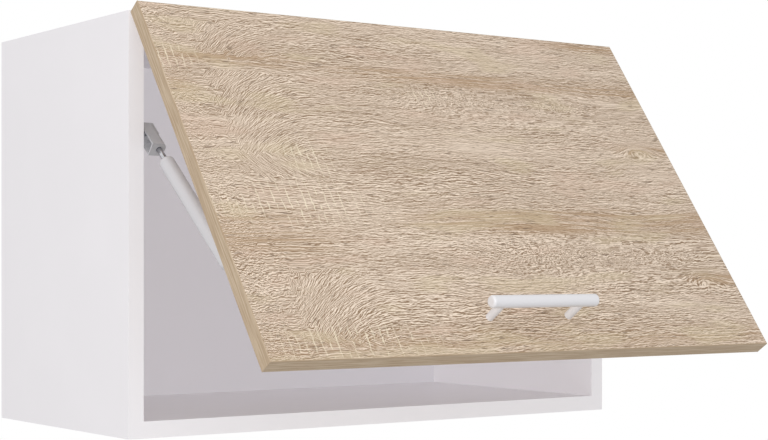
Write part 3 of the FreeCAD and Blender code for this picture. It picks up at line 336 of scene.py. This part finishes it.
# Brown bands: (middle down, half height, across from, across to, weight).
BANDS = ((69.0, 8.0, 150.0, 260.0, 0.8), (247.0, 13.0, 150.0, 330.0, 0.9),
         (62.0, 9.0, 190.0, 120.0, 0.5), (97.0, 14.0, 40.0, 10.0, 0.5),
         (265.0, 22.0, 150.0, 60.0, 0.5), (150.0, 6.0, 500.0, 560.0, 0.8),
         (316.0, 7.0, 510.0, 565.0, 0.8), (7.0, 6.0, 470.0, 560.0, 0.8),
         (382.0, 14.0, -200.0, 0.0, 0.35))
# Patches of light saw marks: (across, down, half width, half height).
SAW_PATCHES = ((14.0, 64.0, 26.0, 15.0), (122.0, 176.0, 28.0, 20.0), (92.0, 232.0, 80.0, 24.0),
               (95.0, 378.0, 84.0, 19.0), (295.0, 93.0, 18.0, 10.0))
# Pale calm patches: (across, down, half width, half height).
CALM_PATCHES = ((520.0, 45.0, 90.0, 11.0), (550.0, 181.0, 60.0, 15.0),
                (335.0, 158.0, 45.0, 24.0), (500.0, 345.0, 90.0, 14.0))
# Patches of dotted grain and short slanted ripples: (across, down, half width, half height).
RIPPLE_PATCHES = ((400.0, 97.0, 110.0, 15.0), (430.0, 288.0, 110.0, 19.0))
# Small eyes where the lines swirl: (across, down, half width, half height).
EYES = ((555.0, 150.0, 24.0, 9.0), (556.0, 315.0, 24.0, 9.0))
EYE_LIFT = 9.0                # how far an eye pushes the lines down, in mm
WANDER = 22.0                 # how far the lines wander up and down, in mm

GRAIN_WIDTH = 1.35            # groove to groove, in mm
GROOVE_STEP = 0.7             # how far the lit side of a groove lies from its dark side, in mm
GRAIN_FADE = 9.0              # length of the noise's third direction, in mm
DASH = 12.5                   # length of a groove, in mm, and what it loses
DASH_LOSS_SPECKLED = 8.5      # where the wood is speckled
DASH_LOSS_RIPPLED = 7.0       # and where it is rippled
SHAKE = 1.7                   # how far a groove strays from its line, in mm, and what it gains
SHAKE_GAIN_SPECKLED = 2.0     # where the wood is speckled
SHAKE_GAIN_RIPPLED = 4.0      # and where it is rippled
SPECKLE_BORDER = (30.0, 75.0)           # speckle fades out between these, in mm across
LOWER_HALF = (190.0, 260.0)             # livelier grain sets in between these, in mm down
LIVELY = 0.62                           # share of the groove contrast everywhere, and
LIVELY_GAIN_BANDS = 0.3                 # what it gains in the broad bands,
LIVELY_GAIN_LOWER = 0.35                # what it gains in the lower half
LIVELY_LOSS_CALM = 0.4                  # and what it loses in the calm patches
CALM_PALER = 0.1
GROOVE_CONTRAST, STREAK_CONTRAST, BAND_CONTRAST = 5.2, 0.75, 0.55
THREADS_BETWEEN, THREADS_WITHIN = 0.35, 1.7   # weight of a brown band off and on its threads
BROWN_COVER, TINT_COVER, CRACK_COVER, SAW_COVER = 0.75, 0.32, 0.75, 0.8
CRACK_DEPTH = 0.6                       # how much of the relief a crack takes
SAW_PITCH = 8.0               # mark to mark, in mm
SAW_STRAY = 4.0               # how far a mark strays, in mm
PORE_ROUGHNESS = 0.52
RIDGE_GAIN = 0.12             # how much rougher the ridges are than the pores
EDGE_MARGIN = 0.01            # slack in telling an upright strip, in mm
# Slices of the noise that the three layers of the edge strips are cut from.
STREAK_SLICE, PORE_SLICE, CLOUD_SLICE = 4.0, 9.0, 2.0

# Layers of noise: its lengths in mm along three ways, a shift of the first one so that no two
# layers fall together, and the noise's detail and roughness.
LAYERS = {
    "wander": (190.0, 60.0, 60.0, 0.0, 2.0, 0.5),
    "break_up": (6.0, 6.0, 6.0, 0.0, 1.0, 0.5),
    "shake": (8.0, 8.0, 8.0, 0.0, 1.0, 0.5),
    "streaks": (75.0, 5.0, 60.0, 7.0, 3.0, 0.75),
    "threads": (150.0, 1.7, 90.0, 5.0, 2.0, 0.6),
    "bands": (300.0, 24.0, 30.0, 3.0, 2.0, 0.5),
    "tint": (90.0, 22.0, 30.0, 11.0, 1.0, 0.5),
    "cracks": (13.0, 1.8, 14.0, 3.0, 1.0, 0.5),
    "saw_breaks": (5.0, 11.0, 5.0, 0.0, 1.0, 0.5),
    "edge_streaks": (40.0, 1.6, 1.0, 0.0, 3.0, 0.5),
    "edge_pores": (11.0, 0.7, 1.0, 0.0, 2.0, 0.5),
    "edge_cloud": (120.0, 12.0, 1.0, 0.0, 1.0, 0.5),
}


def layer(finish, name, *ways):
    """Noise of one layer: each way is divided by the layer's length along it."""
    first, second, third, shift, detail, roughness = LAYERS[name]
    x, y, z = ways
    place = finish.point(x / first + shift, y / second, z / third)
    return finish.noise(place, detail=detail, roughness=roughness)


def add_up(values):
    """Sum of shader values."""
    first, *others = values
    for value in others:
        first = first + value
    return first


def patches(across, down, places):
    """Sum of soft oval masks, each the product of two bells."""
    return add_up(across.bell(middle_across, half_width) * down.bell(middle_down, half_height)
                  for middle_across, middle_down, half_width, half_height in places)


def grain_line(finish, across, down, depth):
    """Millimetres down the grain: lines of one value run along it. Gives it bent and unbent.

    It is the way down the door, waved by slow noise. On the left the lines bend towards the
    axis of their arch by a share of the squared way, and break off where noise says."""
    slow = layer(finish, "wander", across, down, depth)
    lifted = down + (slow - 0.5) * WANDER
    for eye in EYES:
        lifted = lifted + patches(across, down, (eye,)) * EYE_LIFT
    choice = layer(finish, "break_up", across, down, depth) - 0.5
    way = finish.maths("MAXIMUM", ARCH_START - across, 0.0)
    bend = way * way * ARCH_BEND * ((across - ARCH_END + choice * ARCH_BORDER_BREAK) > 0.0)
    line = lifted
    for axis, above, below in ARCHES:
        height = lifted - axis + choice * ARCH_SEAM_BREAK
        falling = ((height + above) > 0.0) * (1.0 - (height > 0.0))
        rising = (height > 0.0) * (1.0 - (height > below))
        line = line - bend * (falling - rising)
    return line, lifted


def oak_face(finish, settings, across, down, depth):
    """Rough-sawn oak print: returns its colour and its relief.

    Short dashes come from noise stretched along the grain lines, lit as grooves are: the
    noise less the same noise a little lower down. Longer noise adds streaks and bands."""
    line, level = grain_line(finish, across, down, depth)
    shake = layer(finish, "shake", across, down, depth) - 0.5
    speckled = 1.0 - across.rise(*SPECKLE_BORDER)
    ripple = patches(across, down, RIPPLE_PATCHES).cap()
    fine = line + shake * (SHAKE + ripple * SHAKE_GAIN_RIPPLED + speckled * SHAKE_GAIN_SPECKLED)
    dash = DASH - speckled * DASH_LOSS_SPECKLED - ripple * DASH_LOSS_RIPPLED

    def grain(step):
        return finish.noise(finish.point(across / dash, (fine + step) / GRAIN_WIDTH,
                                         down / GRAIN_FADE), detail=2.0, roughness=0.85)

    grooves = grain(0.0)
    lit = grooves - grain(GROOVE_STEP)
    streaks = layer(finish, "streaks", across, line, down)
    threads = layer(finish, "threads", across, line, down)
    bands = layer(finish, "bands", across, level, depth)
    calm = patches(across, down, CALM_PATCHES).cap()
    lively = (LIVELY + bands.rise(0.35, 0.65) * LIVELY_GAIN_BANDS
              + down.rise(*LOWER_HALF) * LIVELY_GAIN_LOWER - calm * LIVELY_LOSS_CALM)
    tone = 0.5 + calm * CALM_PALER + lit * lively * GROOVE_CONTRAST
    tone = tone + (streaks - 0.5) * STREAK_CONTRAST - (bands - 0.5) * BAND_CONTRAST
    colour = finish.mix(tone.cap(), tuple(settings.dark), tuple(settings.light))
    brown = add_up(down.bell(middle, half_height) * across.rise(start, end) * weight
                   for middle, half_height, start, end, weight in BANDS)
    brown = (brown * (THREADS_BETWEEN + threads.rise(0.46, 0.57) * THREADS_WITHIN)).cap()
    colour = finish.mix(brown * BROWN_COVER, colour, tuple(settings.brown))
    tint = layer(finish, "tint", across, level, depth)
    colour = finish.mix(tint.rise(0.55, 0.75) * TINT_COVER, colour, tuple(settings.pink))
    colour = finish.mix((1.0 - tint.rise(0.28, 0.45)) * TINT_COVER, colour,
                        tuple(settings.yellow))
    cracks = layer(finish, "cracks", across, fine, down).rise(0.63, 0.74) * CRACK_COVER
    colour = finish.mix(cracks, colour, tuple(settings.crack))
    upright = ((across + shake * SAW_STRAY) * (math.tau / SAW_PITCH)).wave().rise(0.8, 0.98)
    broken = layer(finish, "saw_breaks", across, down, depth)
    marks = upright * broken.rise(0.4, 0.5) * patches(across, down, SAW_PATCHES)
    colour = finish.mix(marks.cap() * SAW_COVER, colour, tuple(settings.saw_mark))
    return colour, (grooves - cracks * CRACK_DEPTH).cap()


def oak_edge(finish, settings, across, down, depth):
    """Edge banding: the same wood in long plain streaks that run along each strip.

    On the upright strips, past the board's own width, the streaks run down the door."""
    half_board = DOOR_WIDTH_MM / 2 - BAND_MM
    upright = (across - DOOR_WIDTH_MM / 2).size() > half_board - EDGE_MARGIN
    along = across + (down - across) * upright
    streak = layer(finish, "edge_streaks", along, depth, STREAK_SLICE)
    pores = layer(finish, "edge_pores", along, depth, PORE_SLICE)
    cloud = layer(finish, "edge_cloud", along, depth, CLOUD_SLICE)
    tone = finish.mix(streak.rise(0.35, 0.65), tuple(settings.edge_light),
                      tuple(settings.edge_dark))
    tone = finish.mix(cloud.rise(0.4, 0.7) * 0.5, tone, tuple(settings.edge_dark))
    dark = pores.rise(0.58, 0.75) * 0.4
    return finish.mix(dark, tone, tuple(settings.dark)), 1.0 - dark


class CABINET_OT_finish_door(bpy.types.Operator):
    """Give the door board and its edge bands the rough-sawn oak print"""
    bl_idname = "cabinet.finish_door"
    bl_label = "Oak door"

    def execute(self, context):
        settings = context.scene.cabinet_oak
        for name, pattern, node in (("oak_face_print", oak_face, "door_panel"),
                                    ("oak_edge_print", oak_edge, "door_edge_bands")):
            finish = Finish(name, roughness=0.6)
            colour, relief = pattern(finish, settings, *door_plane(finish))
            finish.set("Base Color", colour)
            finish.set("Roughness", PORE_ROUGHNESS + relief * RIDGE_GAIN)
            finish.bump(relief, depth_mm=settings.relief / MM, strength=0.5)
            coat(finish, node)
        return {"FINISHED"}


# ---------------------------------------------------------------- fittings
FLECKS_PER_METRE = (60.0, 700.0)      # along a dowel, around it


def metal_finish(name, colour, roughness, grain_mm=0.6):
    """Plated metal: clouded tone and a fine uneven polish."""
    finish = Finish(name, roughness=roughness, metallic=1.0)
    cloud = speckle(finish, grain_mm * 12)
    finish.set("Base Color", finish.mix(cloud.rise(0.3, 0.7), darker(colour, 0.8), colour))
    fine = speckle(finish, grain_mm)
    finish.set("Roughness", roughness + (fine - 0.5) * 0.2)
    finish.bump(fine, depth_mm=0.01, strength=0.3)
    return finish


def moulded_finish(name, colour, roughness=0.45):
    """Moulded plastic: even colour, faint flow marks and a fine spark-eroded skin."""
    finish = Finish(name, roughness=roughness)
    cloud = speckle(finish, scale_mm=12.0)
    finish.set("Base Color", finish.mix(cloud, darker(colour, 0.9), colour))
    skin = speckle(finish, scale_mm=0.5)
    finish.set("Roughness", roughness + (skin - 0.5) * 0.15)
    finish.bump(skin, depth_mm=0.02, strength=0.4)
    return finish


def lacquer_finish(name, colour, roughness, clear_coat):
    """Sprayed lacquer: even colour with a shallow orange-peel skin under a clear coat."""
    finish = Finish(name, roughness=roughness, coat=clear_coat)
    finish.set("Coat Roughness", 0.12)
    peel = speckle(finish, scale_mm=1.6)
    finish.set("Base Color", finish.mix(peel, darker(colour, 0.96), colour))
    finish.bump(peel, depth_mm=0.02, strength=0.3)
    return finish


def beech_finish():
    """Dowels: pale wood with flecks along the dowel."""
    finish = Finish("beech", roughness=0.7)
    x, y, z = finish.axes()
    along, around = FLECKS_PER_METRE
    fleck = finish.noise(finish.point(x * along, y * around, z * around), detail=2.0)
    finish.set("Base Color", finish.mix(fleck.rise(0.4, 0.7), paint(212, 174, 128),
                                        paint(178, 134, 88)))
    finish.bump(fleck, depth_mm=0.05, strength=0.4)
    return finish


class CABINET_OT_finish_handle(bpy.types.Operator):
    """Give the handle bar and its posts their satin white lacquer"""
    bl_idname = "cabinet.finish_handle"
    bl_label = "Handle"

    def execute(self, context):
        colour = tuple(context.scene.cabinet_fittings.handle)
        coat(lacquer_finish("white_satin_lacquer", colour, 0.38, 0.25),
             "handle_bar", "handle_posts")
        return {"FINISHED"}


class CABINET_OT_finish_hardware(bpy.types.Operator):
    """Give hinges, hangers, brackets, screws, cams, nails, dowels and bumpers their finishes"""
    bl_idname = "cabinet.finish_hardware"
    bl_label = "Hinges, hangers and fasteners"

    def execute(self, context):
        zinc = tuple(context.scene.cabinet_fittings.zinc)
        coat(metal_finish("bright_zinc", zinc, 0.32), "connecting_bolts", "back_nails",
             "handle_screws", "hinge_top_screws", "hinge_door_screws", "strut_side_screws",
             "strut_door_screws", *pair("hanger_hook"), *pair("hanger_screws"),
             *pair("strut_side_plate"), *pair("strut_door_bracket"))
        coat(metal_finish("nickel", paint(205, 200, 192), 0.24), *pair("hinge_top_leaf"),
             *pair("hinge_door_leaf"), *pair("hinge_pin"))
        coat(metal_finish("die_cast_zinc", paint(168, 168, 168), 0.5), "cam_locks")
        coat(beech_finish(), "wood_dowels")
        coat(moulded_finish("white_moulding", paint(232, 231, 228)), *pair("hanger_housing"))
        coat(moulded_finish("milky_pad", paint(224, 226, 226), 0.3), "door_bumpers")
        return {"FINISHED"}


class CABINET_OT_finish_struts(bpy.types.Operator):
    """Give the gas struts their enamel, polished steel, moulded ends and seals"""
    bl_idname = "cabinet.finish_struts"
    bl_label = "Gas struts"

    def execute(self, context):
        settings = context.scene.cabinet_fittings
        coat(lacquer_finish("white_enamel", tuple(settings.tube), 0.3, 0.5),
             *pair("strut_cylinder"))
        coat(moulded_finish("grey_moulding", tuple(settings.socket)),
             *pair("strut_upper_socket"), *pair("strut_lower_socket"))
        coat(metal_finish("polished_rod", paint(208, 209, 213), 0.14), *pair("strut_rod"),
             *pair("strut_neck"), *pair("strut_upper_ball"), *pair("strut_lower_ball"))
        coat(moulded_finish("black_seal", paint(38, 38, 39), 0.6), *pair("strut_gland"),
             *pair("strut_piston"))
        return {"FINISHED"}


# ---------------------------------------------------------------- stage
FLOOR_HALF_WIDTH = 3.0
FLOOR_COLOUR = paint(240, 240, 240)
WHITE = (1.0, 1.0, 1.0, 1.0)
# Soft lamps: (name, place in metres, side in metres, watts, casts a shadow).
# The photograph's even fill casts none, not even inside the open cabinet.
LAMPS = (("lamp_above", (-0.6, -1.6, 2.2), 2.4, 6.0, True),
         ("lamp_fill", (-2.7, -2.9, 1.2), 2.8, 93.0, False))


def soft_lamp(name, place, aim, size, power, shadow):
    """Square area lamp that looks from its place to its aim."""
    light = bpy.data.lights.new(name, "AREA")
    light.shape = "SQUARE"
    light.size = size
    light.energy = power
    light.use_shadow = shadow
    lamp = bpy.data.objects.new(name, light)
    direction = Vector(aim) - Vector(place)
    lamp.matrix_world = (Matrix.Translation(place)
                         @ direction.to_track_quat("-Z", "Y").to_matrix().to_4x4())
    bpy.context.scene.collection.objects.link(lamp)


def white_to_camera(tree, background, plain_strength):
    """White where the camera, a mirror or a pane looks at the sky, plain light elsewhere."""
    path = tree.nodes.new("ShaderNodeLightPath")
    seen = None
    for ray in ("Is Camera Ray", "Is Glossy Ray", "Is Transmission Ray"):
        if seen is None:
            seen = path.outputs[ray]
            continue
        either = tree.nodes.new("ShaderNodeMath")
        either.operation = "MAXIMUM"
        tree.links.new(seen, either.inputs[0])
        tree.links.new(path.outputs[ray], either.inputs[1])
        seen = either.outputs[0]
    strength = tree.nodes.new("ShaderNodeMix")
    strength.data_type = "FLOAT"
    strength.inputs[2].default_value = plain_strength
    strength.inputs[3].default_value = 1.0
    tree.links.new(seen, strength.inputs[0])
    tree.links.new(strength.outputs[0], background.inputs["Strength"])


class CABINET_OT_set_stage(bpy.types.Operator):
    """Set up the floor, the white surroundings, the soft lamps and the photograph's camera"""
    bl_idname = "cabinet.set_stage"
    bl_label = "Stage"

    def execute(self, context):
        scene = context.scene
        settings = scene.cabinet_stage
        scene.view_settings.view_transform = "Standard"
        world = bpy.data.worlds.new("white_room")
        world.use_nodes = True
        scene.world = world
        background = world.node_tree.nodes["Background"]
        background.inputs["Color"].default_value = WHITE
        white_to_camera(world.node_tree, background, settings.sky)
        half = FLOOR_HALF_WIDTH
        level = CARCASS_LOW.z - settings.floor_drop
        corners = [(-half, -half, level), (half, -half, level), (half, half, level),
                   (-half, half, level)]
        mesh = bpy.data.meshes.new("floor")
        mesh.from_pydata(corners, [], [(0, 1, 2, 3)])
        floor = bpy.data.objects.new("floor", mesh)
        scene.collection.objects.link(floor)
        paving = Finish("pale_floor", roughness=0.9)
        paving.set("Base Color", FLOOR_COLOUR)
        mesh.materials.append(paving.material)
        middle = (CARCASS_LOW + CARCASS_HIGH) / 2
        aim = (0.0, middle.y, middle.z)
        for name, place, size, watts, shadow in LAMPS:
            soft_lamp(name, place, aim, size, watts * settings.lamp, shadow)
        add_camera(scene)
        return {"FINISHED"}


def add_camera(scene):
    """Level camera with shifted centre, as the photograph's edges ask for."""
    data = bpy.data.cameras.new("photo_camera")
    width, height = IMAGE_SIZE
    data.sensor_width = SENSOR_MM
    data.lens = FOCAL_PIXELS * SENSOR_MM / width
    data.shift_x = (width / 2 - OPTICAL_CENTRE[0]) / width
    data.shift_y = (OPTICAL_CENTRE[1] - height / 2) / width
    camera = bpy.data.objects.new("photo_camera", data)
    camera.location = CAMERA_PLACE
    camera.rotation_euler = (math.radians(90), 0.0, -CAMERA_YAW)
    scene.collection.objects.link(camera)
    scene.camera = camera


# ---------------------------------------------------------------- panel and run
OPERATORS = (CABINET_OT_finish_boards, CABINET_OT_finish_door, CABINET_OT_finish_handle,
             CABINET_OT_finish_hardware, CABINET_OT_finish_struts, CABINET_OT_set_stage)
SETTINGS = {"cabinet_boards": BoardSettings, "cabinet_oak": OakSettings,
            "cabinet_fittings": FittingSettings, "cabinet_stage": StageSettings}


class CABINET_PT_panel(bpy.types.Panel):
    """Sizes, colours and steps of the cabinet"""
    bl_idname = "CABINET_PT_panel"
    bl_label = "Lift Up Wall Cabinet"
    bl_space_type = "VIEW_3D"
    bl_region_type = "UI"
    bl_category = "Cabinet"

    def draw(self, context):
        for name, group in SETTINGS.items():
            box = self.layout.box()
            for key in group.__annotations__:
                box.prop(getattr(context.scene, name), key)
        for operator in OPERATORS:
            self.layout.operator(operator.bl_idname)


def register():
    for cls in (*SETTINGS.values(), *OPERATORS, CABINET_PT_panel):
        bpy.utils.register_class(cls)
    for name, group in SETTINGS.items():
        setattr(bpy.types.Scene, name, bpy.props.PointerProperty(type=group))


def unregister():
    for name in SETTINGS:
        delattr(bpy.types.Scene, name)
    for cls in (CABINET_PT_panel, *reversed(OPERATORS), *reversed(SETTINGS.values())):
        bpy.utils.unregister_class(cls)


def main():
    register()
    for operator in OPERATORS:
        group, name = operator.bl_idname.split(".")
        getattr(getattr(bpy.ops, group), name)()


if __name__ == "__main__":
    main()
